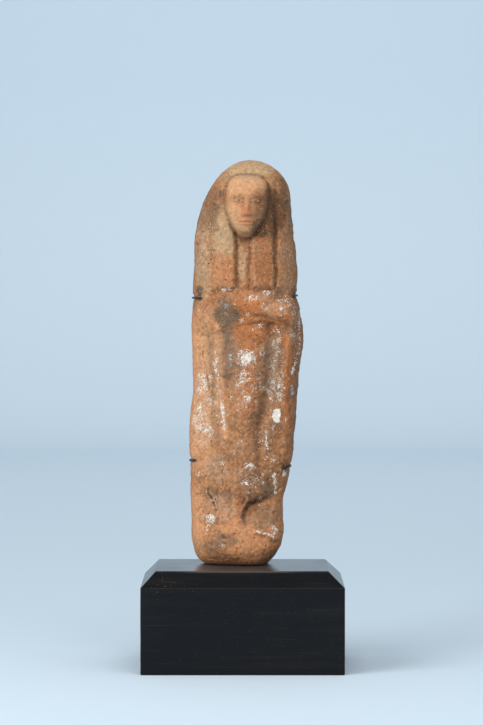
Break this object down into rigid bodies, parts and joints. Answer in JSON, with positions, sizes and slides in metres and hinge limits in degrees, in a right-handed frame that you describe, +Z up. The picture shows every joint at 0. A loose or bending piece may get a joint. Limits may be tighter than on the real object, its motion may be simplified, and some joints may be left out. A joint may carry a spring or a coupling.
{
  "type": "ushabti figurine on stand",
  "caption": "Mould-made terracotta mummiform funerary figurine with wig and crossed arms, held by a thin wire cradle on a bevelled dark wooden plinth.",
  "frame": {"origin": "middle of the plinth's underside", "axes": "+Z up along the figurine, which faces -Y; +X is to the right as it is looked at from the front"},
  "size_m": [0.074, 0.058, 0.187],
  "materials": {
    "terracotta": "unglazed, worn, with lime and soot stains",
    "stained_wood": "black stain, satin",
    "blackened_wire": "satin black"
  },
  "bodies": {
    "root": {"figurine": "terracotta", "plinth": "stained_wood", "claw_mount": "blackened_wire"}
  },
  "joints": []
}
